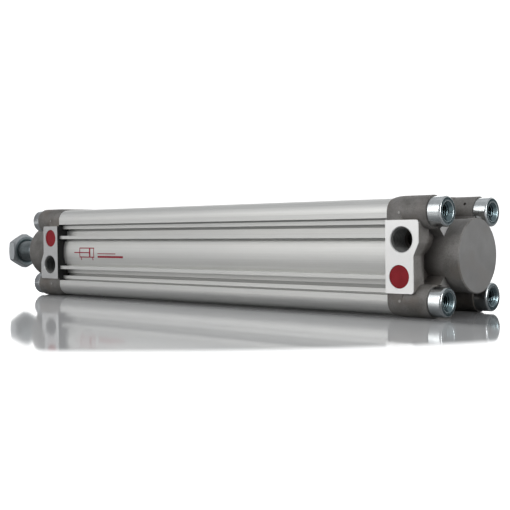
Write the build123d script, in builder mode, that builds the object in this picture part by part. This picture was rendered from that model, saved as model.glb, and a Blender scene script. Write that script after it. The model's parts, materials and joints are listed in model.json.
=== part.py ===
from build123d import *
import math
import os

os.makedirs("parts", exist_ok=True)

# Profile-barrel pneumatic cylinder, double acting, with adjustable end cushioning and a magnetic
# piston, to ISO 15552. Millimetres. X runs along the rod: the rear end is at +X and the rod leaves
# at -X. The ports face -Y and +Z is up. The origin is the centre of the rear mounting face, which is
# the plane of the four rear screw heads. The rod is fully retracted.

# ---- Driving dimensions -------------------------------------------------------------------------

bore = 50.0
stroke = 250.0
rod_diameter = 20.0
mounting_length = 106.0 + stroke      # mounting face to mounting face
screw_spacing = 46.5                  # between screw axes, both ways
cover_depth = 32.5                    # mounting face to barrel end
spigot_diameter = 40.0
rear_spigot_height = 4.0
front_spigot_height = 22.3
port_side = 32.5                      # axis to the machined port pad
thread_start = 37.0                   # front mounting face to the rod thread
thread_length = 32.0
thread_diameter = 16.0
nut_width = 24.0
nut_height = 8.0
nut_from_end = 5.6                    # outer nut face to the end of the rod
mounting_thread = 8.0                 # M8 in the screw heads
port_thread = 13.157                  # G1/4

# ---- Sizes that follow --------------------------------------------------------------------------

bore_radius = bore / 2
rod_radius = rod_diameter / 2
thread_radius = thread_diameter / 2
barrel_length = mounting_length - 2 * cover_depth
barrel_rear = -cover_depth
barrel_front = barrel_rear - barrel_length
front_mounting = -mounting_length
flip_axis = Axis((front_mounting / 2, 0, 0), (0, 1, 0))   # half a turn swaps rear and front
screw_offset = screw_spacing / 2
running_gap = 0.05                    # radial play of fits that slide or turn
free_gap = 0.3                        # radial play of parts that must not touch
rod_play = 1.0                        # radial, between the bush and the rod seal

# Barrel profile
tube_radius = 27.0
barrel_half = 30.8
lobe_radius = barrel_half - screw_offset
lobe_start = 20.3                     # half width of the flank between two corner lobes
flank_floor = 18.0                    # inside the tube, which is added after the flanks are cut
outer_rib = (17.0, 19.3)              # from and to, across the flank
outer_rib_top = 27.4
inner_rib = (9.8, 12.1)
inner_rib_top = 30.3
undercut_top = 25.6                   # the sensor slots widen from here to their flat floor
slot_floor = 23.6
undercut = 0.8
relief_floor = 22.3                   # deeper strip of that floor, along the outer rib
relief_width = 1.7
notch_floor = 25.9
band_groove = (8.2, 9.8)              # narrow groove on each side of the middle band
band_groove_radius = 26.0
edge_softening = 0.3
channel_radius = 3.4                  # screw channel, as extruded
thread_depth = 24.0                   # tapped length of a screw channel

# Covers
cover_half = 32.0
shoulder = ((0.0, barrel_half + 0.1), (3.0, cover_half - 0.35), (6.5, cover_half))
shoulder_length = shoulder[-1][0]
post_radius = cover_half - screw_offset
head_height = 8.0
plate_thickness = 10.5
plate_face = barrel_rear + plate_thickness
hub_radius = 19.6
hub_flare = 6.0
web_width = 9.0
web_middle = 25.0                     # distance from the axis to the middle of a web
web_length = 18.0
web_top = -6.4
seat_radius = 9.0                     # spot face under a screw head
spigot_chamfer = 0.6
plate_chamfer = 0.6
pad_half = 19.2
pad_thickness = 10.0
pad_port_edge = -12.0
pad_cap_edge = -15.2
pad_step = (7.2, 0.6)                 # Z where the edge leaves the port side and meets the cap side
pad_corner = 1.6
boss_face = 30.5                      # the bosses end under the pad's face
port_place = (-22.5, 9.0)             # X and Z of the port
port_depth = 12.0
port_boss = 10.0
port_mouth = 0.45                     # chamfer at the port's mouth
passage_radius = 4.0
passage_end = 11.0                    # inside the cushion chamber
cap_place = (-24.0, -10.4)            # X and Z of the cushion needle and its cap
cap_radius = 6.2
cap_thickness = 2.8
cap_recess = 3.0
cap_sink = 0.2                        # cap face below the pad
cap_chamfer = 0.3
needle_boss = 7.6
needle_body_radius = 4.5              # threaded bore of the cushion needle
needle_body_end = 22.0
needle_stem_radius = 3.0
needle_stem_end = 15.6
needle_seat_radius = 1.2
needle_seat_end = 9.0
feed_radius = 1.0                     # passage from the barrel to the needle
feed_place = -18.0
collar_length = 5.0                   # how far a cover reaches into the barrel
collar_radius = bore_radius - 0.1
ring_groove_start = 1.2               # from the barrel end
ring_groove_width = 2.4
ring_groove_depth = 1.65
ring_play = 0.01
chamber_radius = 15.0
chamber_floor = -12.0
cushion_seal_radius = 17.5
cushion_seal_width = 4.0
cushion_seal_lip = 1.0
needle_top = 26.5                     # distances from the cylinder's axis to points on the needle
needle_step = 22.3
needle_groove = (20.5, 19.3)
needle_cone = (17.0, 15.7)
needle_tip = 13.3
needle_groove_radius = 1.9
needle_tip_radius = 1.1
needle_ring_cord = 0.5
needle_chamfer = 0.45
needle_slot_width = 1.0
needle_slot_depth = 1.5
mark_place = (-24.0, 23.1)            # X and Z of the pin marks on the posts
mark_radius = 0.9
mark_height = 0.25
dimple_place = (-13.1, 27.8)          # X and Z of the small blind hole in one post
dimple_radius = 0.8
dimple_depth = 1.5

# Screws
head_radius = 8.0
neck_radius = 6.2
neck_length = 14.0
screw_radius = 3.594                  # M8 pitch radius, where screw and barrel meet
screw_length = 54.0                   # mounting face to screw tip
screw_hole_radius = 4.2               # through the cover
screw_fit = 0.02                      # radial, in the tapped channel
mounting_thread_depth = 16.0
mouth_depth = 0.45                    # countersink at the mouth of the thread
mouth_width = 1.4
head_chamfer = 0.7
tip_chamfer = 1.0
socket_width = 6.0
socket_depth = 4.0

# Piston and rod
end_gap = 0.2                         # piston to cover at either end of the stroke
piston_radius = bore_radius - free_gap
piston_rear = barrel_rear - collar_length - end_gap
piston_length = barrel_length - 2 * collar_length - 2 * end_gap - stroke
piston_front = piston_rear - piston_length
piston_middle = piston_rear - piston_length / 2
stem_radius = 7.0                     # rod spigot through the piston
stem_thread = 15.0
stem_groove = (piston_front + 6.0, piston_front + 8.0)
stem_groove_depth = 1.1
lip_depth_part = 0.6                  # groove between two seal lips, over the seal's length
lip_seal_width = 4.0
lip_seal_setback = 2.5
lip_seal_floor = 20.5
lip_seal_lip = 1.1
seal_play = 0.1
wear_ring_width = 8.0
wear_ring_floor = 23.2
magnet_width = 4.8
magnet_inner = 17.0
magnet_outer = 21.8
magnet_play = 0.2
cushion_radius = 13.0
cushion_length = 20.0
cushion_taper = 1.6
spear_extra = 1.0                     # the spear is longer than the sleeve by this
spear_play = 0.5                      # beyond the end of the rod's stem
spear_socket = 10.0                   # hexagon in the rear cushion spear, across flats
spear_socket_depth = 4.0
bush_radius = 12.0
bush_length = 20.0
bush_relief = 2.0
bush_chamfer = 0.4
rod_seal_radius = 15.0
rod_seal_length = 10.0
rod_seal_lip = 1.2
flats_width = 17.0
flats_length = 9.0
flats_gap = 2.5                       # front cover to the wrench flats
rod_chamfer = 1.2
rod_end_chamfer = 1.0
relief_length = 2.5                   # thread run-out at the rod shoulder
thread_height = 1.1
thread_pitch_radius = 7.513           # M16 x 1.5, where rod and nut meet
nut_clearance = 0.5                   # of the pitch-diameter stretch past each nut face
nut_face_part = 0.96                  # face circle over the width across flats
nut_mouth = 0.7


# ---- Shared shapes ------------------------------------------------------------------------------


def rims(piece, smallest, largest):
    """The circular edges of a piece with a radius between two values."""
    circles = piece.edges().filter_by(GeomType.CIRCLE)
    return circles.filter_by(lambda edge: smallest < edge.radius < largest)


def to_front(piece):
    """The same piece at the front end: half a turn about the middle, so ports stay at -Y."""
    return piece.rotate(flip_axis, 180)


def disc(start, end, radius):
    """Adds a cylinder along X to the part being built."""
    with BuildSketch(Plane.YZ.offset(min(start, end))) as face:
        Circle(radius)
    extrude(face.sketch, abs(end - start))


def bore_out(start, end, radius):
    """Cuts a cylinder along X from the part being built."""
    with BuildSketch(Plane.YZ.offset(min(start, end))) as face:
        Circle(radius)
    extrude(face.sketch, abs(end - start), mode=Mode.SUBTRACT)


def drill_in(place, start, end, radius):
    """Cuts a cylinder along +Y, from one distance in front of the axis to a smaller one."""
    with BuildSketch(Plane.XZ.offset(start)) as face:
        with Locations(place):
            Circle(radius)
    extrude(face.sketch, end - start, mode=Mode.SUBTRACT)


def flank_bars(bottom, top, inner, outer, mode):
    """Bars on all four flanks of a profile, on both sides of the middle, between two heights."""
    with PolarLocations((bottom + top) / 2, 4):
        with Locations((0, (inner + outer) / 2), (0, -(inner + outer) / 2)):
            Rectangle(top - bottom, outer - inner, mode=mode)


def ring(start, end, outer, inner):
    """A plain ring along X."""
    with BuildPart() as made:
        disc(start, end, outer)
        bore_out(start, end, inner)
    return made.part


def o_ring(centre, ring_radius, cord_radius):
    """A torus about the X axis."""
    with BuildPart() as made:
        with BuildSketch(Plane.XY):
            with Locations((centre, ring_radius)):
                Circle(cord_radius)
        revolve(axis=Axis.X)
    return made.part


def lip_ring(start, end, outer, inner, lip):
    """A ring whose end face is grooved into two lips; the groove is at the end side."""
    depth = (end - start) * lip_depth_part
    middle = (outer + inner) / 2
    with BuildPart() as made:
        with BuildSketch(Plane.XY):
            with BuildLine():
                Polyline(
                    (start, inner), (start, outer), (end, outer), (end, outer - lip),
                    (end - depth, middle), (end, inner + lip), (end, inner), close=True,
                )
            make_face()
        revolve(axis=Axis.X)
    return made.part


def cover_casting(spigot_height):
    """The cast and machined body that both covers share, in the rear cover's place."""
    with BuildPart() as casting:
        # Outer shape: it grows from the barrel's size to the full size in a soft shoulder.
        for setback, half in shoulder:
            with BuildSketch(Plane.YZ.offset(barrel_rear + setback)):
                RectangleRounded(2 * half, 2 * half, half - screw_offset)
        loft()
        with BuildSketch(Plane.YZ.offset(barrel_rear + shoulder_length)):
            RectangleRounded(2 * cover_half, 2 * cover_half, post_radius)
        extrude(amount=plate_thickness - shoulder_length)
        chamfer(casting.faces().sort_by(Axis.X)[-1].edges(), plate_chamfer)

        # Four posts that carry the screw heads.
        with BuildSketch(Plane.YZ.offset(barrel_rear + shoulder_length)):
            with GridLocations(screw_spacing, screw_spacing, 2, 2):
                Circle(post_radius)
        extrude(amount=cover_depth - shoulder_length - head_height)

        # Hub with a flared foot, and a web from each post to the hub.
        flare_radius = hub_radius + hub_flare
        flare_end = plate_face + hub_flare
        inside_plate = plate_face - plate_thickness / 2
        with BuildSketch(Plane.XY):
            with BuildLine():
                Polyline(
                    (flare_end, hub_radius), (0, hub_radius), (0, 0), (inside_plate, 0),
                    (inside_plate, flare_radius), (plate_face, flare_radius),
                )
                RadiusArc((plate_face, flare_radius), (flare_end, hub_radius), -hub_flare)
            make_face()
        revolve(axis=Axis.X)
        with BuildSketch(Plane.YZ.offset(plate_face)):
            with PolarLocations(web_middle, 4, start_angle=45):
                Rectangle(web_length, web_width)
        extrude(amount=web_top - plate_face)
        with BuildSketch(Plane.YZ.offset(-head_height)):
            with GridLocations(screw_spacing, screw_spacing, 2, 2):
                Circle(seat_radius)
        extrude(amount=head_height, mode=Mode.SUBTRACT)

        # Machined centring spigot.
        with BuildSketch(Plane.YZ):
            Circle(spigot_diameter / 2)
        extrude(amount=spigot_height)
        chamfer(casting.faces().sort_by(Axis.X)[-1].edges(), spigot_chamfer)

        # Machined pad at the port side, with the bosses behind it.
        with BuildSketch(Plane.XZ.offset(port_side)) as pad:
            with BuildLine():
                Polyline(
                    (barrel_rear, -pad_half), (barrel_rear, pad_half), (pad_port_edge, pad_half),
                    (pad_port_edge, pad_step[0]), (pad_cap_edge, pad_step[1]),
                    (pad_cap_edge, -pad_half), close=True,
                )
            make_face()
            fillet(pad.vertices().filter_by(lambda corner: corner.X > barrel_rear + 1), pad_corner)
        extrude(amount=-pad_thickness)
        with BuildSketch(Plane.XZ.offset(boss_face)):
            with Locations(port_place):
                Circle(port_boss)
            with Locations(cap_place):
                Circle(needle_boss)
        extrude(amount=-(boss_face - chamber_radius))

        # Pin marks left by the die on the outer side of two posts, and a small blind hole.
        with BuildSketch(Plane.XZ.offset(cover_half - mark_height)):
            with Locations(mark_place, (mark_place[0], -mark_place[1])):
                Circle(mark_radius)
        extrude(amount=2 * mark_height)
        with BuildSketch(Plane.XZ.offset(post_radius - screw_offset)):
            with Locations(dimple_place):
                Circle(dimple_radius)
        extrude(amount=-dimple_depth - dimple_depth, mode=Mode.SUBTRACT)

        # Collar that centres the cover in the barrel, with its O-ring groove.
        disc(barrel_rear, barrel_rear - collar_length, collar_radius)
        groove_start = barrel_rear - ring_groove_start
        with BuildSketch(Plane.YZ.offset(groove_start - ring_groove_width)):
            Circle(bore_radius)
            Circle(bore_radius - ring_groove_depth, mode=Mode.SUBTRACT)
        extrude(amount=ring_groove_width, mode=Mode.SUBTRACT)

        # Cushion chamber and the pocket of its seal.
        collar_end = barrel_rear - collar_length
        bore_out(collar_end, chamber_floor, chamber_radius)
        bore_out(collar_end, collar_end + cushion_seal_width, cushion_seal_radius)

        # Port, with a passage on to the chamber.
        drill_in(port_place, port_side, port_side - port_depth, port_thread / 2)
        drill_in(port_place, port_side - port_depth, passage_end, passage_radius)
        port_rims = rims(casting, port_thread / 2 - running_gap, port_thread / 2 + running_gap)
        chamfer(port_rims.sort_by(Axis.Y)[0], port_mouth)

        # Cushion needle: cap recess, thread, stem bore, seat, and the passage from the barrel side.
        drill_in(cap_place, port_side, port_side - cap_recess, cap_radius)
        drill_in(cap_place, port_side - cap_recess, needle_body_end, needle_body_radius)
        drill_in(cap_place, needle_body_end, needle_stem_end, needle_stem_radius)
        drill_in(cap_place, needle_stem_end, needle_seat_end, needle_seat_radius)
        with BuildSketch(Plane.YZ.offset(collar_end)):
            with Locations((feed_place, cap_place[1])):
                Circle(feed_radius)
        extrude(amount=cap_place[0] - collar_end, mode=Mode.SUBTRACT)

        # Screw holes with a counterbore for the neck of each screw.
        with BuildSketch(Plane.YZ.offset(barrel_rear)):
            with GridLocations(screw_spacing, screw_spacing, 2, 2):
                Circle(screw_hole_radius)
        extrude(amount=cover_depth, mode=Mode.SUBTRACT)
        with BuildSketch(Plane.YZ.offset(-head_height - neck_length)):
            with GridLocations(screw_spacing, screw_spacing, 2, 2):
                Circle(neck_radius)
        extrude(amount=neck_length, mode=Mode.SUBTRACT)
    return casting.part


# ---- Barrel -------------------------------------------------------------------------------------

with BuildPart() as barrel:
    with BuildSketch(Plane.YZ.offset(barrel_front)) as profile:
        RectangleRounded(2 * barrel_half, 2 * barrel_half, lobe_radius)
        # Flanks between the corner lobes, down to the outer ribs and then inside them.
        flank_bars(outer_rib_top, barrel_half, 0, lobe_start, Mode.SUBTRACT)
        flank_bars(flank_floor, barrel_half, 0, outer_rib[0], Mode.SUBTRACT)
        # Inner ribs, and the notches beside the lobes.
        flank_bars(flank_floor, inner_rib_top, *inner_rib, Mode.ADD)
        flank_bars(notch_floor, barrel_half, outer_rib[1], lobe_start, Mode.SUBTRACT)
        # The tube, sensor slots that widen towards a flat floor, and a groove beside the middle band.
        Circle(tube_radius)
        slot = (inner_rib[1] - undercut, outer_rib[0] + undercut)
        flank_bars(flank_floor, slot_floor, *slot, Mode.ADD)
        flank_bars(slot_floor, undercut_top, *slot, Mode.SUBTRACT)
        flank_bars(relief_floor, slot_floor, outer_rib[0] - relief_width, slot[1], Mode.SUBTRACT)
        flank_bars(flank_floor, barrel_half, *band_groove, Mode.SUBTRACT)
        Circle(band_groove_radius)
        Circle(bore_radius, mode=Mode.SUBTRACT)
        with GridLocations(screw_spacing, screw_spacing, 2, 2):
            Circle(channel_radius, mode=Mode.SUBTRACT)
        # Soften the long corners that stand clear of the tube, apart from where the lobes start.
        clear_corners = profile.vertices().filter_by(
            lambda corner: math.hypot(corner.Y, corner.Z) > tube_radius + edge_softening
            and abs(abs(corner.Y) - screw_offset) > edge_softening
            and abs(abs(corner.Z) - screw_offset) > edge_softening
        )
        fillet(clear_corners, edge_softening)
    extrude(amount=barrel_length)
    for end, direction in ((barrel_rear, -1), (barrel_front, 1)):
        with BuildSketch(Plane.YZ.offset(end)):
            with GridLocations(screw_spacing, screw_spacing, 2, 2):
                Circle(screw_radius)
        extrude(amount=direction * thread_depth, mode=Mode.SUBTRACT)

# ---- Covers -------------------------------------------------------------------------------------

rear_casting = cover_casting(rear_spigot_height)
front_casting = to_front(cover_casting(front_spigot_height))

with BuildPart() as rear_cover:
    add(rear_casting)

front_chamber_floor = front_mounting - chamber_floor
front_end = front_mounting - front_spigot_height
bush_end = front_chamber_floor - bush_length
rod_seal_start = front_end + rod_seal_length

with BuildPart() as front_cover:
    add(front_casting)
    bore_out(front_chamber_floor, bush_end - bush_relief, bush_radius)
    bore_out(bush_end - bush_relief, front_end, rod_radius + rod_play)
    bore_out(rod_seal_start, front_end, rod_seal_radius)

# ---- Cover screws -------------------------------------------------------------------------------

with BuildPart() as rear_cover_screws:
    screw_layers = (
        (-head_height, head_height, head_radius),
        (-head_height - neck_length, neck_length, neck_radius),
        (-screw_length, screw_length - head_height - neck_length, screw_radius - screw_fit),
    )
    for start, length, radius in screw_layers:
        with BuildSketch(Plane.YZ.offset(start)):
            with GridLocations(screw_spacing, screw_spacing, 2, 2):
                Circle(radius)
        extrude(amount=length)
    chamfer(rear_cover_screws.faces().group_by(Axis.X)[-1].edges(), head_chamfer)
    chamfer(rear_cover_screws.faces().group_by(Axis.X)[0].edges(), tip_chamfer)
    with BuildSketch(Plane.YZ):
        with GridLocations(screw_spacing, screw_spacing, 2, 2):
            Circle(mounting_thread / 2)
    extrude(amount=-mounting_thread_depth, mode=Mode.SUBTRACT)
    head_faces = rear_cover_screws.faces().group_by(Axis.X)[-1]
    for mouth in rims(rear_cover_screws, 0, neck_radius).group_by(Axis.X)[-1]:
        chamfer(mouth, mouth_width, mouth_depth, reference=head_faces.sort_by_distance(mouth)[0])
    with BuildSketch(Plane.YZ.offset(-mounting_thread_depth)):
        with GridLocations(screw_spacing, screw_spacing, 2, 2):
            RegularPolygon(socket_width / 2, 6, major_radius=False)
    extrude(amount=-socket_depth, mode=Mode.SUBTRACT)

with BuildPart() as front_cover_screws:
    add(to_front(rear_cover_screws.part))

# ---- Seals and small parts of the covers --------------------------------------------------------

barrel_ring_centre = barrel_rear - ring_groove_start - ring_groove_width / 2
barrel_ring_cord = ring_groove_depth / 2 - ring_play
with BuildPart() as rear_barrel_o_ring:
    add(o_ring(barrel_ring_centre, bore_radius - ring_groove_depth / 2, barrel_ring_cord))

with BuildPart() as front_barrel_o_ring:
    add(to_front(rear_barrel_o_ring.part))

cushion_seal_start = barrel_rear - collar_length + cushion_seal_width
with BuildPart() as rear_cushion_seal:
    add(lip_ring(
        cushion_seal_start, barrel_rear - collar_length,
        cushion_seal_radius, cushion_radius + running_gap, cushion_seal_lip,
    ))

with BuildPart() as front_cushion_seal:
    add(to_front(rear_cushion_seal.part))

with BuildPart() as rod_bush:
    add(ring(front_chamber_floor, bush_end, bush_radius, rod_radius + running_gap))
    chamfer(rims(rod_bush, 0, bush_radius - bush_chamfer), bush_chamfer)

with BuildPart() as rod_seal:
    add(lip_ring(rod_seal_start, front_end, rod_seal_radius, rod_radius + running_gap, rod_seal_lip))

with BuildPart() as rear_red_cap:
    with BuildSketch(Plane.XZ.offset(port_side - cap_sink)):
        with Locations(cap_place):
            Circle(cap_radius)
    extrude(amount=-cap_thickness)
    chamfer(rear_red_cap.faces().sort_by(Axis.Y)[0].edges(), cap_chamfer)

with BuildPart() as front_red_cap:
    add(to_front(rear_red_cap.part))

# ---- Cushion needles ----------------------------------------------------------------------------

needle_axis = Axis((cap_place[0], 0, cap_place[1]), (0, 1, 0))
needle_plane = Plane(origin=(cap_place[0], 0, cap_place[1]), x_dir=(1, 0, 0), z_dir=(0, 0, 1))
with BuildPart() as rear_cushion_needle:
    with BuildSketch(needle_plane):
        with BuildLine():
            body = needle_body_radius - running_gap
            stem = needle_stem_radius - running_gap
            Polyline(
                (0, -needle_top), (body - needle_chamfer, -needle_top),
                (body, -needle_top + needle_chamfer), (body, -needle_step), (stem, -needle_step),
                (stem, -needle_groove[0]), (needle_groove_radius, -needle_groove[0]),
                (needle_groove_radius, -needle_groove[1]), (stem, -needle_groove[1]),
                (stem, -needle_cone[0]), (needle_tip_radius, -needle_cone[1]),
                (needle_tip_radius, -needle_tip), (0, -needle_tip), close=True,
            )
        make_face()
    revolve(axis=needle_axis)
    with BuildSketch(Plane.XZ.offset(needle_top)):
        with Locations(cap_place):
            Rectangle(2 * needle_stem_radius, needle_slot_width)
    extrude(amount=-needle_slot_depth, mode=Mode.SUBTRACT)

with BuildPart() as front_cushion_needle:
    add(to_front(rear_cushion_needle.part))

with BuildPart() as rear_needle_o_ring:
    needle_ring_radius = (needle_stem_radius + needle_groove_radius) / 2
    with BuildSketch(needle_plane):
        with Locations((needle_ring_radius, -sum(needle_groove) / 2)):
            Circle(needle_ring_cord)
    revolve(axis=needle_axis)

with BuildPart() as front_needle_o_ring:
    add(to_front(rear_needle_o_ring.part))

# ---- Piston -------------------------------------------------------------------------------------

rear_groove_end = piston_rear - lip_seal_setback
magnet_pocket = magnet_width / 2 + seal_play

with BuildPart() as rear_piston_half:
    disc(piston_rear, piston_middle, piston_radius)
    bore_out(piston_rear, piston_middle, stem_radius)
    for start, end, floor in (
        (rear_groove_end - lip_seal_width, rear_groove_end, lip_seal_floor),
        (piston_middle, piston_middle + wear_ring_width / 2, wear_ring_floor),
    ):
        with BuildSketch(Plane.YZ.offset(start)):
            Circle(bore_radius)
            Circle(floor, mode=Mode.SUBTRACT)
        extrude(amount=end - start, mode=Mode.SUBTRACT)
    with BuildSketch(Plane.YZ.offset(piston_middle)):
        Circle(magnet_outer + magnet_play)
        Circle(magnet_inner, mode=Mode.SUBTRACT)
    extrude(amount=magnet_pocket, mode=Mode.SUBTRACT)

with BuildPart() as front_piston_half:
    add(mirror(rear_piston_half.part, about=Plane.YZ.offset(piston_middle), mode=Mode.PRIVATE))

with BuildPart() as piston_magnet:
    add(ring(piston_middle - magnet_width / 2, piston_middle + magnet_width / 2, magnet_outer, magnet_inner))

wear_ring_half = wear_ring_width / 2 - seal_play
with BuildPart() as piston_wear_ring:
    add(ring(
        piston_middle - wear_ring_half, piston_middle + wear_ring_half,
        bore_radius - running_gap, wear_ring_floor + running_gap,
    ))

with BuildPart() as rear_piston_seal:
    add(lip_ring(
        rear_groove_end - lip_seal_width + seal_play, rear_groove_end - seal_play,
        bore_radius - running_gap, lip_seal_floor + running_gap, lip_seal_lip,
    ))

with BuildPart() as front_piston_seal:
    add(mirror(rear_piston_seal.part, about=Plane.YZ.offset(piston_middle), mode=Mode.PRIVATE))

# ---- Rod ----------------------------------------------------------------------------------------

rod_shoulder = front_mounting - thread_start
rod_end = rod_shoulder - thread_length
nut_outer = rod_end + nut_from_end
flats_start = front_end - flats_gap
stem_end = piston_rear + stem_thread

with BuildPart() as piston_rod:
    disc(piston_front, rod_shoulder, rod_radius)
    disc(piston_front, stem_end, stem_radius)
    disc(rod_shoulder, rod_end, thread_radius)
    chamfer(piston_rod.faces().sort_by(Axis.X)[0].edges(), rod_end_chamfer)
    chamfer(piston_rod.faces().sort_by(Axis.X)[-1].edges(), rod_end_chamfer)
    rod_rims = rims(piston_rod, rod_radius - running_gap, rod_radius + running_gap)
    chamfer(rod_rims.group_by(Axis.X)[0], rod_chamfer)
    # Turned grooves: thread run-out, O-ring groove, and the pitch diameter where the nut sits.
    for start, length, outer, floor in (
        (rod_shoulder - relief_length, relief_length, rod_radius, thread_radius - thread_height),
        (stem_groove[0], stem_groove[1] - stem_groove[0], stem_radius, stem_radius - stem_groove_depth),
        (nut_outer - nut_clearance, nut_height + 2 * nut_clearance, thread_radius, thread_pitch_radius),
    ):
        with BuildSketch(Plane.YZ.offset(start)):
            Circle(outer)
            Circle(floor, mode=Mode.SUBTRACT)
        extrude(amount=length, mode=Mode.SUBTRACT)
    # Two wrench flats, above and below.
    flat_height = rod_radius - flats_width / 2
    with BuildSketch(Plane.YZ.offset(flats_start - flats_length)):
        with Locations((0, flats_width / 2 + flat_height), (0, -flats_width / 2 - flat_height)):
            Rectangle(rod_diameter, 2 * flat_height)
    extrude(amount=flats_length, mode=Mode.SUBTRACT)

with BuildPart() as piston_o_ring:
    add(o_ring(sum(stem_groove) / 2, stem_radius - stem_groove_depth / 2, stem_groove_depth / 2 - ring_play))

with BuildPart() as front_cushion_sleeve:
    add(ring(piston_front, piston_front - cushion_length, cushion_radius, rod_radius))
    sleeve_rims = rims(front_cushion_sleeve, cushion_radius - running_gap, cushion_radius + running_gap)
    chamfer(sleeve_rims.group_by(Axis.X)[0], cushion_taper)

with BuildPart() as rear_cushion_spear:
    spear_end = piston_rear + cushion_length + spear_extra
    disc(piston_rear, spear_end, cushion_radius)
    chamfer(rear_cushion_spear.faces().sort_by(Axis.X)[-1].edges(), cushion_taper)
    bore_out(piston_rear, stem_end + spear_play, stem_radius)
    with BuildSketch(Plane.YZ.offset(spear_end)):
        RegularPolygon(spear_socket / 2, 6, major_radius=False)
    extrude(amount=-spear_socket_depth, mode=Mode.SUBTRACT)

with BuildPart() as rod_nut:
    with BuildSketch(Plane.YZ.offset(nut_outer)):
        RegularPolygon(nut_width / 2, 6, major_radius=False, rotation=30)
        Circle(thread_pitch_radius + running_gap, mode=Mode.SUBTRACT)
    extrude(amount=nut_height)
    # Corners turned down on both faces, at 30 degrees.
    corner_radius = nut_width / 2 / math.cos(math.pi / 6)
    face_radius = nut_width / 2 * nut_face_part
    corner_fall = (corner_radius - face_radius) * math.tan(math.pi / 6)
    with BuildSketch(Plane.XY, mode=Mode.PRIVATE) as turned:
        with BuildLine():
            Polyline(
                (nut_outer, 0), (nut_outer, face_radius), (nut_outer + corner_fall, corner_radius),
                (nut_outer + nut_height - corner_fall, corner_radius),
                (nut_outer + nut_height, face_radius), (nut_outer + nut_height, 0), close=True,
            )
        make_face()
    revolve(turned.sketch, axis=Axis.X, mode=Mode.INTERSECT)
    chamfer(rims(rod_nut, 0, thread_radius), nut_mouth)

# ---- Files --------------------------------------------------------------------------------------

pieces = {
    "barrel": barrel,
    "front_cover": front_cover,
    "rear_cover": rear_cover,
    "front_cover_screws": front_cover_screws,
    "rear_cover_screws": rear_cover_screws,
    "front_barrel_o_ring": front_barrel_o_ring,
    "rear_barrel_o_ring": rear_barrel_o_ring,
    "front_cushion_seal": front_cushion_seal,
    "rear_cushion_seal": rear_cushion_seal,
    "rod_bush": rod_bush,
    "rod_seal": rod_seal,
    "front_red_cap": front_red_cap,
    "rear_red_cap": rear_red_cap,
    "front_cushion_needle": front_cushion_needle,
    "rear_cushion_needle": rear_cushion_needle,
    "front_needle_o_ring": front_needle_o_ring,
    "rear_needle_o_ring": rear_needle_o_ring,
    "front_piston_half": front_piston_half,
    "rear_piston_half": rear_piston_half,
    "piston_magnet": piston_magnet,
    "piston_wear_ring": piston_wear_ring,
    "front_piston_seal": front_piston_seal,
    "rear_piston_seal": rear_piston_seal,
    "piston_rod": piston_rod,
    "piston_o_ring": piston_o_ring,
    "front_cushion_sleeve": front_cushion_sleeve,
    "rear_cushion_spear": rear_cushion_spear,
    "rod_nut": rod_nut,
}
for name, piece in pieces.items():
    piece.part.label = name
    export_step(piece.part, f"parts/{name}.step")
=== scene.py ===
import json
import math

import bmesh
import bpy
from mathutils import Matrix, Vector


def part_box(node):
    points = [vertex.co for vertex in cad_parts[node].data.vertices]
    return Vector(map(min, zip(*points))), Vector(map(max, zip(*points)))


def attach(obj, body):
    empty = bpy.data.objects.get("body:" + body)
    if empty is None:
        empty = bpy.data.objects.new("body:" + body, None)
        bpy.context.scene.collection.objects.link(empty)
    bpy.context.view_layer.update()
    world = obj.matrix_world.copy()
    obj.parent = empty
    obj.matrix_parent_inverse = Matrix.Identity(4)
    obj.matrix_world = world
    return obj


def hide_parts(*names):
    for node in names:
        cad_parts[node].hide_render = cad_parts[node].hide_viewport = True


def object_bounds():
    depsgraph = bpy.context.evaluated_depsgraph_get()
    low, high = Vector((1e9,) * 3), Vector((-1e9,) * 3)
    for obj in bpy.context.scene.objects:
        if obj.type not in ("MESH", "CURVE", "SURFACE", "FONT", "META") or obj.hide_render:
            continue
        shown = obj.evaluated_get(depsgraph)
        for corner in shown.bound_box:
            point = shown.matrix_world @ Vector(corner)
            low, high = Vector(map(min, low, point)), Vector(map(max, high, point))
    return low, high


# The looks of a profile-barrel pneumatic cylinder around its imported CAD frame. Metres. X runs along the
# rod, the rear end is at +X, the ports face -Y and +Z is up.

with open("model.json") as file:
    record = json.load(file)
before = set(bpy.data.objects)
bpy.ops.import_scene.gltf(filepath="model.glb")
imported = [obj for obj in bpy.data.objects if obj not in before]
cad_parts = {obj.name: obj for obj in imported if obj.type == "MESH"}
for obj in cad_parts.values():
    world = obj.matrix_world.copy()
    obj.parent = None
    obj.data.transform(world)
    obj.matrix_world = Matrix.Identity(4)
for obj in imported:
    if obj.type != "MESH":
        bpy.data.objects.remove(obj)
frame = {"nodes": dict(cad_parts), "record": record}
cad_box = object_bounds()

MM = 0.001
nodes = frame["nodes"]
mounts = {mount["name"]: mount for mount in frame["record"]["mounts"]}

# ---- Places and sizes taken from the frame --------------------------------------------------------

rear_face = mounts["rear_mounting_threads"]["pos_m"][0]
front_face = mounts["front_mounting_threads"]["pos_m"][0]
middle = (rear_face + front_face) / 2
screw_offset = mounts["rear_mounting_threads"]["dims"]["spacing_x_mm"] * MM / 2
screws_low, screws_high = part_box("rear_cover_screws")
head_radius = screws_high.y - screw_offset
barrel_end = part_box("barrel")[0].x    # the one toward the rod's thread
rod_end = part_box("piston_rod")[0].x
nut_low, nut_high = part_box("rod_nut")
pad_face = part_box("rear_cover")[0].y  # of the machined pads around the ports
floor_level = cad_box[0].z

# ---- Sizes that the frame does not hold -----------------------------------------------------------

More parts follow.
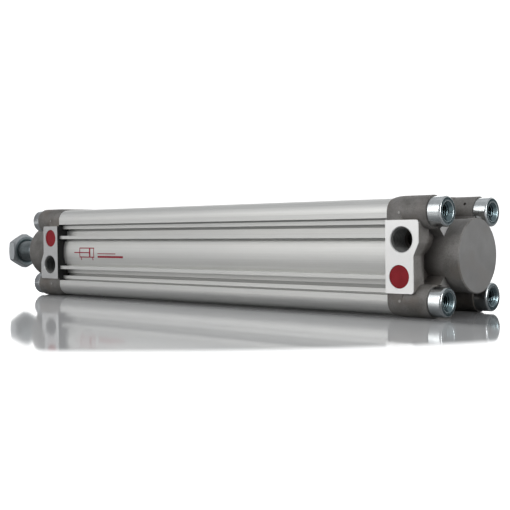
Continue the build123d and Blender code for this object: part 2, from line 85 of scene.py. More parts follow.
# Cover screws: a head, a neck, and a thinner shank drawn without its thread.
head_height = 8.0 * MM
head_rim = 0.7 * MM                   # chamfers of the head
head_back = 0.3 * MM
neck_radius = 6.2 * MM
neck_length = 14.0 * MM
shank_radius = 3.98 * MM
hollow_mouth = 5.4 * MM
hollow_mouth_depth = 1.3 * MM
hexagon_apothem = 3.0 * MM
hexagon_depth = 4.0 * MM

# Threads.
mounting_thread = {"major": 4.0 * MM, "pitch": 1.25 * MM, "length": 16.0 * MM}
port_thread = {"major": 6.57 * MM, "pitch": 1.337 * MM, "length": 11.55 * MM}
port_mouth = 0.45 * MM
rod_thread = {"major": 8.0 * MM, "pitch": 1.5 * MM, "length": 29.5 * MM}
rod_undercut_radius = 6.9 * MM
rod_undercut_end = 31.0 * MM          # from the rod's end
film = 0.02 * MM                      # between drawn surfaces that would otherwise coincide

# Covers: along X, distances outward from the nearer mounting face.
rear_hub_end = 4.0 * MM
web_top = -6.4 * MM
sealing_face = -32.5 * MM
pin_mark = (-24.0 * MM, 23.1 * MM)    # and the height above or below the middle
cover_side = -31.9 * MM               # just inside the flat side with the pin marks
pad_depth = pad_face + port_mouth + 0.01 * MM     # just behind the chamfer of the port
pad_half_height = 21.0 * MM
hub_radius = 19.0 * MM
# Soft edges of surface marks: from where a mark fades out to where it is full.
pin_mark_edge = (0.9 * MM, 0.5 * MM)
corner_edge = (27.0 * MM, 23.0 * MM)
corner_depth = (-1.0 * MM, -16.0 * MM)
hollow_edge = (5.5 * MM, 5.2 * MM)
nut_rim_edge = (8.6 * MM, 10.6 * MM)
plate_edge = (12.0 * MM, -10.0 * MM)
contact_shade_edge = (22.0 * MM, -12.0 * MM)

# Barrel.
band_radius = 27.0 * MM
ink_height = 0.03 * MM
# Narrow grooves, whose floors get painted shade: from and to, across a flank, and a level just above the
# floor.
groove_floors = ((15.3 * MM, 17.8 * MM, 23.0 * MM), (19.25 * MM, 20.6 * MM, 27.0 * MM))

# Floor.
plate_centre = (-0.0665, 0.0747)      # of the polished plate, from the middle of the object
plate_radius = 0.350


# ---- Mesh helpers ---------------------------------------------------------------------------------


def new_object(name, mesh, sharp_angle=35.0):
    """An object in the scene from a bmesh, smooth except at edges sharper than the angle."""
    data = bpy.data.meshes.new(name)
    bmesh.ops.remove_doubles(mesh, verts=mesh.verts, dist=1e-7)
    bmesh.ops.dissolve_degenerate(mesh, edges=mesh.edges, dist=1e-7)
    bmesh.ops.recalc_face_normals(mesh, faces=mesh.faces)
    mesh.to_mesh(data)
    mesh.free()
    data.shade_smooth()
    data.set_sharp_from_angle(angle=math.radians(sharp_angle))
    made = bpy.data.objects.new(name, data)
    bpy.context.scene.collection.objects.link(made)
    return made


def rounded(profile, radius, steps=3):
    """A profile of (x, r) points; an inner corner with a third value gets an arc of that many radii."""
    result = []
    for index, point in enumerate(profile):
        if len(point) < 3 or index in (0, len(profile) - 1):
            result.append(Vector(point[:2]))
            continue
        here = Vector(point[:2])
        before = Vector(profile[index - 1][:2]) - here
        after = Vector(profile[index + 1][:2]) - here
        reach = min(radius * point[2], before.length / 2, after.length / 2)
        start = here + before.normalized() * reach
        end = here + after.normalized() * reach
        for step in range(steps + 1):
            t = step / steps
            result.append(start * (1 - t) ** 2 + here * 2 * t * (1 - t) + end * t**2)
    return result


def add_ring(mesh, segments, point):
    """Adds a ring of vertices about the X axis; point(angle) gives the x and the radius of each."""
    ring = []
    for step in range(segments):
        angle = 2 * math.pi * step / segments
        x, r = point(angle)
        ring.append(mesh.verts.new((x, r * math.cos(angle), r * math.sin(angle))))
    return ring


def join_rings(mesh, rings):
    """Adds the faces between each ring and the next; a ring may be one vertex many times."""
    for first, second in zip(rings, rings[1:]):
        for step in range(len(first)):
            after = (step + 1) % len(first)
            corners = dict.fromkeys((first[step], first[after], second[after], second[step]))
            if len(corners) > 2:
                mesh.faces.new(list(corners))


def add_revolved(mesh, profile, segments=72):
    """Adds the surface that an (x, r) profile sweeps about the X axis; points on the axis close it."""
    rings = []
    for x, r in profile:
        if r < 1e-7:
            rings.append([mesh.verts.new((x, 0.0, 0.0))] * segments)
        else:
            rings.append(add_ring(mesh, segments, lambda angle: (x, r)))
    join_rings(mesh, rings)


def add_helix(mesh, start, end, thread, limit, inward=False, segments=48):
    """Adds a helical thread surface about X from start to end; limit(x, radius) bounds its radius. An
    inward thread has the 60 degree form, an eighth of the pitch wide at its major radius and a quarter
    at its minor one. An outward one has steeper flanks and a wider root."""
    pitch = thread["pitch"]
    depth = pitch * (0.54 if inward else 0.61)
    crest, root = thread["major"], thread["major"] - depth
    if inward:
        form = ((0.0, crest), (0.125, crest), (0.4375, root), (0.6875, root))
    else:
        form = ((0.0, crest), (0.125, crest), (0.375, root), (0.75, root))
    turns = math.ceil((end - start) / pitch) + 2
    columns = []
    for step in range(segments):
        angle = 2 * math.pi * step / segments
        column = []
        for turn in range(-1, turns):
            for part, radius in form:
                x = start + (turn + part + step / segments) * pitch
                x = min(max(x, start), end)
                r = limit(x, radius)
                column.append(mesh.verts.new((x, r * math.cos(angle), r * math.sin(angle))))
        columns.append(column)
    for step in range(segments):
        here, after = columns[step], columns[(step + 1) % segments]
        # The last column meets the first one a pitch further on.
        ahead = len(form) if step == segments - 1 else 0
        for index in range(len(here) - 1 - ahead):
            further = index + ahead
            mesh.faces.new((here[index], here[index + 1], after[further + 1], after[further]))


def placed(mesh, matrix):
    """The bmesh moved by a matrix."""
    bmesh.ops.transform(mesh, matrix=matrix, verts=mesh.verts)
    return mesh


def flipped(mesh):
    """The bmesh turned half round the middle, from the rear end to the front end."""
    centre = Vector((middle, 0, 0))
    turn = Matrix.Translation(centre) @ Matrix.Rotation(math.pi, 4, "Y") @ Matrix.Translation(-centre)
    return placed(mesh, turn)


# ---- Camera, floor and light ----------------------------------------------------------------------


def make_camera():
    """A fairly long lens at the height of the barrel, on the port side and beyond the rear end."""
    data = bpy.data.cameras.new("camera")
    data.sensor_width = 36.0
    data.lens = 66.06
    data.shift_x = -0.0392
    data.shift_y = -0.0140
    data.clip_start = 0.01
    camera = bpy.data.objects.new("camera", data)
    yaw, pitch, roll = math.radians(41.67), math.radians(-1.043), math.radians(-0.603)
    turn = Matrix.Rotation(yaw, 4, "Z") @ Matrix.Rotation(math.pi / 2 + pitch, 4, "X")
    turn = turn @ Matrix.Rotation(roll, 4, "Z")
    place = (0.25129, -0.43857, 0.0142)
    camera.matrix_world = Matrix.Translation(place) @ turn
    bpy.context.scene.collection.objects.link(camera)
    bpy.context.scene.camera = camera


def make_light(name, place, aim, size, power):
    """A rectangular white softbox that points at a place."""
    data = bpy.data.lights.new(name, "AREA")
    data.shape = "RECTANGLE"
    data.size, data.size_y = size
    data.energy = power
    light = bpy.data.objects.new(name, data)
    turn = (Vector(aim) - Vector(place)).to_track_quat("-Z", "Y")
    light.matrix_world = Matrix.Translation(place) @ turn.to_matrix().to_4x4()
    bpy.context.scene.collection.objects.link(light)
    return light


def hide_from(light, thing):
    """Keeps a light off one object, so that the polished plate does not mirror its square."""
    group = bpy.data.collections.new(f"{light.name}_skips")
    group.objects.link(thing)
    group.collection_objects[0].light_linking.link_state = "EXCLUDE"
    light.light_linking.receiver_collection = group


class Nodes:
    """Writes a node tree with one line for each node."""

    def __init__(self, tree):
        self.tree = tree
        self.tree.nodes.clear()

    def add(self, kind, settings=None, **sockets):
        """Adds a node, sets its properties, and sets or links its inputs by name."""
        node = self.tree.nodes.new(kind)
        for key, value in (settings or {}).items():
            setattr(node, key, value)
        for key, value in sockets.items():
            name = int(key[1:]) if key[0] == "_" else key.replace("_", " ")
            self.put(node.inputs[name], value)
        return node

    def put(self, socket, value):
        """Links a node or a socket to an input, or sets the input to a plain value."""
        if isinstance(value, bpy.types.NodeSocket):
            self.tree.links.new(value, socket)
        elif isinstance(value, bpy.types.Node):
            self.tree.links.new(value.outputs[0], socket)
        else:
            socket.default_value = value

    def math(self, operation, first, second=0.0):
        return self.add("ShaderNodeMath", {"operation": operation}, _0=first, _1=second)

    def vector(self, operation, first, second=(0.0, 0.0, 0.0)):
        return self.add("ShaderNodeVectorMath", {"operation": operation}, _0=first, _1=second)

    def times(self, *factors):
        """The product of two or more values; of masks, the part that they share."""
        product = factors[0]
        for factor in factors[1:]:
            product = self.math("MULTIPLY", product, factor)
        return product

    def length(self, *sides):
        """The length of a vector from its parts along two axes."""
        squares = [self.math("MULTIPLY", side, side) for side in sides]
        return self.math("SQRT", self.math("ADD", *squares))

    def mix(self, factor, first, second):
        """Mixes two colours."""
        node = self.add("ShaderNodeMix", {"data_type": "RGBA"})
        self.put(node.inputs[0], factor)
        self.put(node.inputs[6], first)
        self.put(node.inputs[7], second)
        return node.outputs[2]

    def scale(self, value, low, high, new_low=0.0, new_high=1.0):
        """Maps a range smoothly to another one."""
        return self.add(
            "ShaderNodeMapRange", {"interpolation_type": "SMOOTHSTEP"},
            Value=value, From_Min=low, From_Max=high, To_Min=new_low, To_Max=new_high,
        )


def make_world():
    """A pale light tent, dimmer overhead, with bright sheets, dark openings and a dark screen that the
    end faces mirror."""
    world = bpy.data.worlds.new("studio")
    bpy.context.scene.world = world
    world.use_nodes = True
    n = Nodes(world.node_tree)
    direction = n.add("ShaderNodeTexCoord").outputs["Generated"]
    axes = n.add("ShaderNodeSeparateXYZ", _0=direction)

    def towards(x, y, z, start, full):
        """How far a direction lies inside a cone about (x, y, z), between the cosines of two angles."""
        along = n.vector("DOT_PRODUCT", direction, (x, y, z)).outputs["Value"]
        return n.scale(along, start, full)

    height = n.math("ABSOLUTE", axes.outputs["Z"])
    walls, ceiling = (0.80, 0.80, 0.80, 1), (0.38, 0.39, 0.40, 1)
    level = n.mix(n.scale(height, 0.05, 0.75), walls, ceiling)
    # In turn: a dark opening behind the camera, one beyond the rod's end, a bright sheet before the ports,
    # one behind the object, and the dark screen.
    for cone, colour in (
        ((0.64, -0.77, 0.0, 0.55, 0.95), (0.12, 0.125, 0.13, 1)),
        ((-1.0, -0.25, 0.0, 0.55, 0.95), (0.17, 0.17, 0.18, 1)),
        ((-0.45, -0.89, 0.1, 0.90, 0.99), (1.75, 1.75, 1.73, 1)),
        ((-0.665, 0.747, 0.1, 0.84, 0.97), (1.6, 1.6, 1.6, 1)),
        ((0.65, 0.76, 0.0, 0.83, 0.96), (0.02, 0.05, 0.06, 1)),
    ):
        level = n.mix(towards(*cone), level, colour)
    # Seen directly, the backdrop is plain white.
    seen = n.add("ShaderNodeLightPath").outputs["Is Camera Ray"]
    shown = n.mix(seen, level, (1.0, 1.0, 1.0, 1))
    background = n.add("ShaderNodeBackground", Color=shown, Strength=1.15)
    n.add("ShaderNodeOutputWorld", Surface=background)


def make_floor():
    """A pale floor: a polished plate under the object on matt white paper."""
    mesh = bmesh.new()
    bmesh.ops.create_grid(mesh, x_segments=2, y_segments=2, size=40.0)
    floor = new_object("floor", mesh)
    floor.location = (middle, 0, floor_level - 0.02 * MM)
    material = bpy.data.materials.new("polished_floor")
    material.use_nodes = True
    n = Nodes(material.node_tree)
    seen = n.add("ShaderNodeLightPath").outputs["Is Camera Ray"]
    place = n.add("ShaderNodeTexCoord").outputs["Object"]
    # The camera sees a paler floor than the underside of the object does, apart from the contact shade.
    half_size = ((cad_box[1].x - cad_box[0].x) / 2, (cad_box[1].y - cad_box[0].y) / 2, 1.0)
    outside = n.vector("MAXIMUM", n.vector("SUBTRACT", n.vector("ABSOLUTE", place), half_size))
    gap = n.vector("LENGTH", outside).outputs["Value"]
    seen = n.times(seen, n.scale(gap, *reversed(contact_shade_edge)))
    tone = n.mix(seen, (0.30, 0.305, 0.31, 1), (0.74, 0.745, 0.75, 1))
    polished = n.add("ShaderNodeBsdfPrincipled", Base_Color=tone, Roughness=0.06, IOR=1.8)
    paper = n.add("ShaderNodeBsdfPrincipled", Base_Color=(0.85, 0.85, 0.85, 1), Roughness=0.9)
    for surface, glow in ((polished, 0.08), (paper, 0.7)):
        n.put(surface.inputs["Emission Color"], (1.0, 1.0, 1.0, 1))
        n.put(surface.inputs["Emission Strength"], n.times(seen, glow))
    # A round polished plate lies under the object; the paper around it is matt.
    reach = n.vector("DISTANCE", place, (*plate_centre, 0.0)).outputs["Value"]
    inside = n.scale(reach, *(plate_radius + edge for edge in plate_edge))
    both = n.add("ShaderNodeMixShader", _0=inside, _1=paper, _2=polished)
    n.add("ShaderNodeOutputMaterial", Surface=both)
    floor.data.materials.append(material)
    return floor


# ---- Materials ------------------------------------------------------------------------------------


def start_material(name):
    """A new material, its node writer, and the place on the object in metres."""
    material = bpy.data.materials.new(name)
    material.use_nodes = True
    n = Nodes(material.node_tree)
    place = n.add("ShaderNodeTexCoord").outputs["Object"]
    return material, n, place


def noise(n, place, scale, detail=2.0, stretch=(1, 1, 1), roughness=0.5):
    """Noise at a scale per metre; a stretch below 1 draws it out along that axis."""
    mapped = n.add("ShaderNodeMapping", Vector=place, Scale=stretch)
    made = n.add("ShaderNodeTexNoise", Vector=mapped, Scale=scale, Detail=detail, Roughness=roughness)
    return made.outputs["Fac"]


def finish_material(material, n, colour, roughness, bump, bump_height, strength, metal=None, **constants):
    """Joins colour, roughness and bump to the shader; constants are set on its own sockets."""
    shader = n.add("ShaderNodeBsdfPrincipled")
    for key, value in constants.items():
        shader.inputs[key.replace("_", " ")].default_value = value
    n.put(shader.inputs["Base Color"], colour)
    n.put(shader.inputs["Roughness"], roughness)
    if metal is not None:
        n.put(shader.inputs["Metallic"], metal)
    surface = n.add("ShaderNodeBump", Strength=strength, Distance=bump_height, Height=bump)
    n.put(shader.inputs["Normal"], surface)
    n.add("ShaderNodeOutputMaterial", Surface=shader)
    return material


def anodised_aluminium():
    """Satin anodised extrusion: long die lines, a fine etched grain, faint handling marks, and painted
    shade on the floors of the narrow grooves.
    """
    material, n, place = start_material("anodised_extrusion")
    lines = noise(n, place, 1400.0, 3.0, (0.004, 1, 1))
    grain = noise(n, place, 5200.0, 2.0)
    cloud = noise(n, place, 22.0, 3.0, (0.5, 1, 1))
    blend = n.math("ADD", n.times(lines, 0.55), n.times(grain, 0.45))
    colour = n.mix(n.scale(blend, 0.3, 0.7), (0.73, 0.728, 0.708, 1), (0.81, 0.808, 0.79, 1))
    colour = n.mix(n.scale(cloud, 0.35, 0.7, 0.0, 0.12), colour, (0.55, 0.56, 0.57, 1))
    # Painted shade: the floors of the two narrow grooves beside each outer rib are darkened as if in shadow.
    axes = n.add("ShaderNodeSeparateXYZ", _0=place)
    sides = [n.math("ABSOLUTE", axes.outputs[axis]) for axis in ("Y", "Z")]
    height = n.math("MAXIMUM", *sides)
    across = n.math("MINIMUM", *sides)
    for inner, outer, top in groove_floors:
        within = n.times(n.math("GREATER_THAN", across, inner), n.math("LESS_THAN", across, outer))
        low = n.times(within, n.math("LESS_THAN", height, top))
        colour = n.mix(n.times(low, 0.58), colour, (0.20, 0.20, 0.195, 1))
    roughness = n.scale(blend, 0.2, 0.8, 0.46, 0.56)
    return finish_material(material, n, colour, roughness, blend, 0.00001, 0.25, Metallic=0.7)


def cast_and_machined():
    """Tumbled die casting with machined faces: the port pad and, less so, the end of the web are bright,
    the web's end more at its top as painted light and shade. Painted shade darkens the deep corners and
    paints the face toward the barrel black, and a painted highlight brightens the pin marks."""
    material, n, place = start_material("cast_cover")
    axes = n.add("ShaderNodeSeparateXYZ", _0=place)
    x, y, z = (axes.outputs[axis] for axis in ("X", "Y", "Z"))
    facing = n.add("ShaderNodeSeparateXYZ", _0=n.add("ShaderNodeNewGeometry").outputs["True Normal"])
    height = n.math("ABSOLUTE", z)
    outward = n.math("SUBTRACT", n.math("ABSOLUTE", n.math("SUBTRACT", x, middle)), rear_face - middle)
    square = n.math("GREATER_THAN", n.math("ABSOLUTE", facing.outputs["X"]), 0.99)

    def square_face_at(distance):
        """The faces square to the rod at one distance from the nearer mounting face."""
        near = n.add("ShaderNodeMath", {"operation": "COMPARE"}, _0=outward, _1=distance, _2=0.2 * MM)
        return n.times(near, square)

    pad = n.times(n.math("LESS_THAN", y, pad_depth), n.math("LESS_THAN", height, pad_half_height))
    # Painted light and shade: the web's end gets the machined look strongly at its top and only faintly at
    # its bottom.
    web = n.times(square_face_at(web_top), n.scale(z, -6 * MM, 6 * MM, 0.22, 0.75))
    milled_with_painted_light = n.math("MAXIMUM", web, pad)
    # Casting skin: a fine grain, specks, and patches left by the die and by tumbling.
    grain = noise(n, place, 1500.0, 4.0, roughness=0.65)
    speck = noise(n, place, 4200.0, 2.0)
    patches = noise(n, place, 95.0, 5.0, roughness=0.6)
    stain = noise(n, n.add("ShaderNodeMapping", Vector=place, Location=(0.3, 0.1, 0.2)), 60.0, 4.0)
    tone = n.math("ADD", n.times(grain, 0.35), n.times(patches, 0.65))
    cast = n.mix(n.scale(tone, 0.32, 0.68), (0.143, 0.135, 0.126, 1), (0.272, 0.262, 0.251, 1))
    cast = n.mix(n.scale(stain, 0.50, 0.70, 0.0, 0.75), cast, (0.185, 0.160, 0.138, 1))
    cast = n.mix(n.scale(speck, 0.62, 0.8, 0.0, 0.5), cast, (0.34, 0.33, 0.32, 1))
    # Painted shade: the deep corners between the posts, the hub and the plate are darkened as if in shadow.
    aside = n.length(y, z)
    corner = n.times(n.scale(aside, *corner_edge), n.scale(outward, *corner_depth))
    corner = n.times(corner, n.math("GREATER_THAN", aside, hub_radius))
    cast = n.mix(n.times(corner, 0.8), cast, (0.060, 0.052, 0.046, 1))
    # The closed hub's end is rubbed to a plain, slightly lighter grey.
    cast = n.mix(n.times(square_face_at(rear_hub_end), 0.6), cast, (0.25, 0.25, 0.25, 1))
    # Painted highlight: the two pin marks on each cover are painted bright like a glint.
    spread = n.length(n.math("SUBTRACT", outward, pin_mark[0]), n.math("SUBTRACT", height, pin_mark[1]))
    pin_mark_glint = n.times(n.scale(spread, *pin_mark_edge), n.math("LESS_THAN", y, cover_side))
    cast = n.mix(n.times(pin_mark_glint, 0.5), cast, (0.66, 0.65, 0.63, 1))
    # Milling marks: fine arcs across the machined faces.
    marks = n.add(
        "ShaderNodeTexWave", {"wave_type": "RINGS", "rings_direction": "SPHERICAL"},
        Vector=n.add("ShaderNodeMapping", Vector=place, Location=(0.0, 0.0, -0.05)),
        Scale=700.0, Distortion=1.5, Detail=2.0,
    ).outputs["Fac"]
    bright = n.mix(marks, (0.66, 0.66, 0.66, 1), (0.73, 0.725, 0.72, 1))
    colour = n.mix(milled_with_painted_light, cast, bright)
    # Painted shade: the face toward the barrel is painted black as if in deep shadow.
    colour = n.mix(square_face_at(sealing_face), colour, (0.02, 0.02, 0.02, 1))
    roughness = n.mix(milled_with_painted_light, n.scale(tone, 0.2, 0.8, 0.48, 0.64), (0.30, 0.30, 0.30, 1))
    relief = n.mix(milled_with_painted_light, n.math("ADD", grain, n.times(patches, 1.5)), n.times(marks, 0.12))
    flat_face = n.math("GREATER_THAN", n.math("ABSOLUTE", facing.outputs["Y"]), 0.9)
    metal = n.math("ADD", n.times(milled_with_painted_light, flat_face, 0.72), 0.2)
    return finish_material(material, n, colour, roughness, relief, 0.00004, 0.6, metal)


def turned_metal(name, dark, light, low, high, metallic=1.0, hollow=None, ends=None, rim=None):
    """Turned or plated metal: rings about X, and a fine random brightness. A hollow colour paints shade
    into the threaded holes of the cover screws, an ends colour paints shade on the faces square to X, and
    a rim colour paints light on the part of those faces away from the rod's thread."""
    material, n, place = start_material(name)
    rings = noise(n, place, 2600.0, 2.0, (1, 0.02, 0.02))
    cloud = noise(n, place, 260.0, 3.0)
    blend = n.math("ADD", n.times(rings, 0.6), n.times(cloud, 0.4))
    colour = n.mix(n.scale(blend, 0.3, 0.7), dark, light)
    axes = n.add("ShaderNodeSeparateXYZ", _0=place).outputs
    # Painted light: the rim colour lightens the end faces away from the rod's thread, with painted shade left
    # on the inner ring.
    if rim is not None:
        ends = n.mix(n.scale(n.length(axes["Y"], axes["Z"]), *nut_rim_edge), ends, rim)
    # Painted shade: the faces square to X take the darker ends colour.
    if ends is not None:
        facing = n.add("ShaderNodeSeparateXYZ", _0=n.add("ShaderNodeNewGeometry").outputs["True Normal"])
        colour = n.mix(n.scale(n.math("ABSOLUTE", facing.outputs["X"]), 0.93, 0.99), colour, ends)
    # Painted shade: the threaded holes of the screws take the dark hollow colour.
    if hollow is not None:
        sides = [n.math("SUBTRACT", n.math("ABSOLUTE", axes[axis]), screw_offset) for axis in ("Y", "Z")]
        colour = n.mix(n.scale(n.length(*sides), *hollow_edge), colour, hollow)
    roughness = n.scale(blend, 0.25, 0.75, low, high)
    return finish_material(material, n, colour, roughness, rings, 0.000003, 0.08, Metallic=metallic)


def moulded(name, dark, light, low, high):
    """Moulded plastic or rubber: a soft mottle and a fine pebble."""
    material, n, place = start_material(name)
    pebble = noise(n, place, 1800.0, 3.0)
    cloud = noise(n, place, 180.0, 3.0)
    colour = n.mix(n.scale(cloud, 0.3, 0.7), dark, light)
    roughness = n.scale(pebble, 0.3, 0.7, low, high)
    return finish_material(material, n, colour, roughness, pebble, 0.00002, 0.35, Specular_IOR_Level=0.25)


def make_materials():
    """One material for each slot of the record, and those of pieces that only the visual model has.
    A turned or moulded one has a dark and a light colour, and a low and a high roughness."""
    turned = {
        "zinc_steel": ("zinc_plate", (0.65, 0.68, 0.69, 1), (0.73, 0.76, 0.77, 1), 0.18, 0.25),
        "nut_steel": ("nut_plate", (0.54, 0.57, 0.58, 1), (0.62, 0.65, 0.66, 1), 0.28, 0.36),
        "thread_steel": ("cut_thread", (0.29, 0.32, 0.33, 1), (0.38, 0.41, 0.42, 1), 0.34, 0.42),
        "port_cut": ("cut_port", (0.15, 0.15, 0.145, 1), (0.23, 0.23, 0.225, 1), 0.35, 0.5),
        "chromed_steel": ("hard_chrome", (0.55, 0.57, 0.60, 1), (0.68, 0.70, 0.72, 1), 0.10, 0.20),
        "bush_bronze": ("sintered_bronze", (0.40, 0.26, 0.13, 1), (0.56, 0.38, 0.2, 1), 0.35, 0.5),
        "needle_brass": ("turned_brass", (0.62, 0.46, 0.2, 1), (0.78, 0.6, 0.3, 1), 0.2, 0.32),
        "piston_aluminium": ("turned_aluminium", (0.58, 0.59, 0.6, 1), (0.72, 0.73, 0.74, 1), 0.3, 0.42),
    }
    soft = {
        "red_plastic": ("red_cap", (0.31, 0.010, 0.018, 1), (0.37, 0.014, 0.024, 1), 0.45, 0.6),
        "red_ink": ("red_ink", (0.36, 0.03, 0.05, 1), (0.42, 0.04, 0.06, 1), 0.4, 0.55),
        "black_rubber": ("seal_rubber", (0.015, 0.015, 0.016, 1), (0.03, 0.03, 0.03, 1), 0.5, 0.68),
        "magnet_ferrite": ("bonded_ferrite", (0.05, 0.05, 0.055, 1), (0.09, 0.09, 0.10, 1), 0.55, 0.7),
        "wear_ring_plastic": ("acetal", (0.66, 0.62, 0.52, 1), (0.76, 0.72, 0.62, 1), 0.35, 0.5),
    }
    # Painted shade: dark teal in the screws' threaded holes, on their end faces and on the nut's inner ring;
    # painted light on the nut's rim.
    extras = {
        "zinc_steel": {"hollow": (0.18, 0.245, 0.265, 1), "ends": (0.33, 0.37, 0.38, 1)},
        "nut_steel": {"ends": (0.12, 0.18, 0.19, 1), "rim": (0.82, 0.86, 0.87, 1)},
        "port_cut": {"metallic": 0.6},
    }
    made = {"anodised_aluminium": anodised_aluminium(), "cast_aluminium": cast_and_machined()}
    made.update({slot: turned_metal(*look, **extras.get(slot, {})) for slot, look in turned.items()})
    made.update({slot: moulded(*look) for slot, look in soft.items()})
    return made


def dress_nodes(materials):
    """Gives every CAD node the material of its slot."""
    for part in frame["record"]["subparts"]:
        data = nodes[part["node"]].data
        data.materials.clear()
        data.materials.append(materials[part["material_slot"]])


# ---- Screws ---------------------------------------------------------------------------------------


def add_screw(mesh, offset_y, offset_z):
    """One cover screw: a round head with a threaded hole and a hexagon at its bottom, neck and shank."""
    single = bmesh.new()
    bore = mounting_thread["major"]
    mouth_end = -hollow_mouth_depth
    thread_end = -mounting_thread["length"]
    neck_end = -head_height - neck_length
    tip = screws_low.x - rear_face
    outside = [
        (mouth_end, bore), (0.0, hollow_mouth, 1),
        (0.0, head_radius - head_rim, 1), (-head_rim, head_radius, 1),
        (-head_height + head_back, head_radius, 1), (-head_height, head_radius - head_back, 1),
        (-head_height, neck_radius), (neck_end, neck_radius, 1),
        (neck_end, shank_radius), (tip + MM, shank_radius, 1), (tip, shank_radius - MM), (tip, 0.0),
    ]
    add_revolved(single, rounded(outside, 0.25 * MM))

    def limit(x, radius):
        return max(radius, bore - max(0.0, mouth_end - x) * 1.2)

    add_helix(single, thread_end, mouth_end, mounting_thread, limit, inward=True)
    # Bottom of the threaded hole, with a hexagon sunk into it.
    minor = bore - mounting_thread["pitch"] * 0.54
    add_revolved(single, [(thread_end, bore), (thread_end, minor + film)])

    def hexagon(angle):
        """From the middle to the hexagon's edge."""
        return hexagon_apothem / math.cos((angle % (math.pi / 3)) - math.pi / 6)

    rings = [add_ring(single, 72, point) for point in (
        lambda angle: (thread_end, minor + film),
        lambda angle: (thread_end, min(hexagon(angle), minor)),
        lambda angle: (thread_end - hexagon_depth, hexagon(angle)),
    )]
    join_rings(single, rings)
    single.faces.new(rings[-1])
    placed(single, Matrix.Translation((rear_face, offset_y, offset_z)))
    data = bpy.data.meshes.new("screw")
    single.to_mesh(data)
    single.free()
    mesh.from_mesh(data)
    bpy.data.meshes.remove(data)


def make_screws(material):
    """The four screws of each cover, as one piece an end."""
    for end in ("rear", "front"):
        mesh = bmesh.new()
        for side in (-1, 1):
            for level in (-1, 1):
                add_screw(mesh, side * screw_offset, level * screw_offset)
        if end == "front":
            flipped(mesh)
        piece = new_object(f"{end}_tie_screws", mesh)
        piece.data.materials.append(material)
        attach(piece, "cylinder")
        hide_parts(f"{end}_cover_screws")


# ---- Port threads ---------------------------------------------------------------------------------


def make_port_threads(material):
    """A threaded sleeve against the wall of each port."""
    length = port_thread["length"]
    major = port_thread["major"]
    wall = major + 0.004 * MM

    def limit(x, radius):
        return max(radius, major - max(0.0, length - x))

    for end in ("rear", "front"):
        place = mounts[f"{end}_port"]["pos_m"]
        mesh = bmesh.new()
        add_helix(mesh, 0.0, length, port_thread, limit, inward=True)
        add_revolved(mesh, [(0.0, major), (0.0, wall), (length, wall), (length, major)])
        turn = Matrix.Rotation(-math.pi / 2, 4, "Z")
        placed(mesh, Matrix.Translation((place[0], pad_face + port_mouth + length, place[2])) @ turn)
        piece = new_object(f"{end}_port_thread", mesh)
        piece.data.materials.append(material)
        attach(piece, "cylinder")


# ---- Rod and nut ----------------------------------------------------------------------------------


def make_rod(chrome, thread_finish):
    """The rod's body from its CAD surface up to the undercut, and a cut thread beyond it."""
    cut = rod_end + rod_undercut_end
    mesh = bmesh.new()
    mesh.from_mesh(nodes["piston_rod"].data)
    bmesh.ops.remove_doubles(mesh, verts=mesh.verts, dist=1e-7)
    everything = mesh.verts[:] + mesh.edges[:] + mesh.faces[:]
    bmesh.ops.bisect_plane(mesh, geom=everything, plane_co=(cut, 0, 0), plane_no=(-1, 0, 0), clear_outer=True)
    bmesh.ops.holes_fill(mesh, edges=[edge for edge in mesh.edges if edge.is_boundary])
    body = new_object("rod_body", mesh, 30.0)
    run_out = rod_end + rod_thread["length"]
    root = rod_undercut_radius
    major = rod_thread["major"]
    overlap = 0.3 * MM

    def limit(x, radius):
        return min(radius, major - MM + (x - rod_end), root + (run_out - x))

    mesh = bmesh.new()
    add_helix(mesh, rod_end, run_out, rod_thread, limit)
    add_revolved(mesh, [(rod_end, 0.0), (rod_end, major - MM)])
    add_revolved(mesh, [(run_out, root), (cut + overlap, root), (cut + overlap, 0.0)])
    thread = new_object("rod_end_thread", mesh)
    for piece, finish in ((body, chrome), (thread, thread_finish)):
        piece.data.materials.append(finish)
        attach(piece, "rod")
        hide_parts("piston_rod")


def make_nut(material):
    """A thin hexagon nut with turned-down corners and a cut thread."""
    half_width = nut_high.y
    face_radius = half_width * 0.955
    corner_radius = half_width * 1.142
    slope = math.tan(math.radians(30))
    bore = rod_thread["major"] + film
    mouth = bore + 0.5 * MM
    mouth_depth = 0.45 * MM
    outer, inner = nut_low.x, nut_high.x
    start, end = outer + mouth_depth, inner - mouth_depth
    segments = 96

    def side(angle):
        """From the middle to a flat of the hexagon, or to the round that takes its corners down."""
        flat = half_width / math.cos(((angle + math.pi / 6) % (math.pi / 3)) - math.pi / 6)
        return min(flat, corner_radius)

    def fall(angle):
        """How far the chamfer at a corner falls back from the nut's face."""
        return (side(angle) - face_radius) * slope

    mesh = bmesh.new()
    join_rings(mesh, [add_ring(mesh, segments, point) for point in (
        lambda angle: (start, bore),
        lambda angle: (outer, mouth),
        lambda angle: (outer, face_radius),
        lambda angle: (outer + fall(angle), side(angle)),
        lambda angle: (inner - fall(angle), side(angle)),
        lambda angle: (inner, face_radius),
        lambda angle: (inner, mouth),
        lambda angle: (end, bore),
    )])
    thread = {"major": bore, "pitch": rod_thread["pitch"]}

    def limit(x, radius):
        return max(radius, bore - max(0.0, min(x - start, end - x)))

    add_helix(mesh, start, end, thread, limit, inward=True, segments=segments)
    piece = new_object("lock_nut", mesh, 25.0)
    piece.data.materials.append(material)
    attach(piece, "lock_nut")
    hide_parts("rod_nut")


# ---- Printed symbol -------------------------------------------------------------------------------


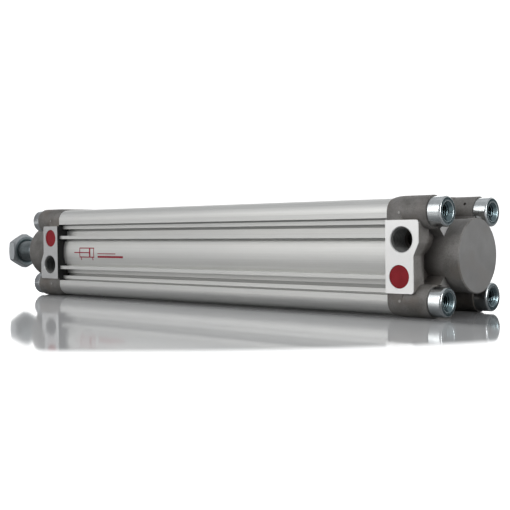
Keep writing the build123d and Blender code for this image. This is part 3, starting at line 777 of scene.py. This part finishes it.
def add_stroke(mesh, x_from, x_to, z_from, z_to):
    """A thin film of ink on the middle band, between two X and two Z values."""
    steps = max(2, math.ceil((z_to - z_from) / (0.5 * MM)))
    rows = []
    for radius in (band_radius - film, band_radius + ink_height):
        row = []
        for step in range(steps + 1):
            z = z_from + (z_to - z_from) * step / steps
            y = -math.sqrt(radius**2 - z**2)
            row.append((mesh.verts.new((x_from, y, z)), mesh.verts.new((x_to, y, z))))
        rows.append(row)
    inner, outer = rows
    for step in range(steps):
        (a, b), (c, d) = outer[step], outer[step + 1]
        mesh.faces.new((a, b, d, c))
        (e, f), (g, h) = inner[step], inner[step + 1]
        mesh.faces.new((e, g, h, f))
        mesh.faces.new((a, c, g, e))
        mesh.faces.new((b, f, h, d))
    for step in (0, steps):
        (a, b), (e, f) = outer[step], inner[step]
        mesh.faces.new((a, e, f, b))


def make_symbol(material):
    """The graphic symbol for a double-acting cylinder, printed near the front end, and two pinstripes."""
    mesh = bmesh.new()
    length, half, line = 17.0 * MM, 3.6 * MM, 0.75 * MM
    left = barrel_end + 19.0 * MM
    right = left + length
    piston = right - 5.0 * MM
    port = 1.8 * MM
    stripes = right + 4.0 * MM
    # Each stroke runs from and to along X, and from and to along Z.
    strokes = (
        (left, right, half - line, half),
        (left, right, -half, line - half),
        (left, left + line, line - half, half - line),
        (right - line, right, line - half, half - line),
        (piston - line, piston + line, line - half, half - line),
        (left - 6.0 * MM, piston - line, -line / 2, line / 2),
        (left + 2 * line, left + 3 * line, -half - port, -half),
        (right - 3 * line, right - 2 * line, -half - port, -half),
        (stripes, stripes + 28.0 * MM, -half, -half + 1.4 * MM),
        (stripes, stripes + 20.0 * MM, -half + 2.6 * MM, -half + 3.2 * MM),
    )
    for stroke in strokes:
        add_stroke(mesh, *stroke)
    piece = new_object("printed_symbol", mesh)
    piece.data.materials.append(material)
    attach(piece, "cylinder")


# ---- Everything -----------------------------------------------------------------------------------

bpy.context.scene.view_settings.view_transform = "Standard"
make_camera()
make_world()
floor = make_floor()
make_light("key", place=(-0.75, -1.1, 0.75), aim=(-0.18, 0, 0), size=(1.2, 0.7), power=2.3)
make_light("top", place=(-0.1, 0.1, 1.2), aim=(-0.18, 0, 0), size=(1.4, 0.8), power=0.6)
pad_light = make_light("rear", place=(-0.10, -0.42, 0.22), aim=(-0.06, 0, 0), size=(0.15, 0.15), power=0.16)
end_light = make_light("right", place=(0.57, 0.02, 0.12), aim=(0.0, 0, 0), size=(0.30, 0.30), power=1.55)
hide_from(pad_light, floor)
hide_from(end_light, floor)
materials = make_materials()
dress_nodes(materials)
make_screws(materials["zinc_steel"])
make_port_threads(materials["port_cut"])
make_rod(materials["chromed_steel"], materials["thread_steel"])
make_nut(materials["nut_steel"])
make_symbol(materials["red_ink"])
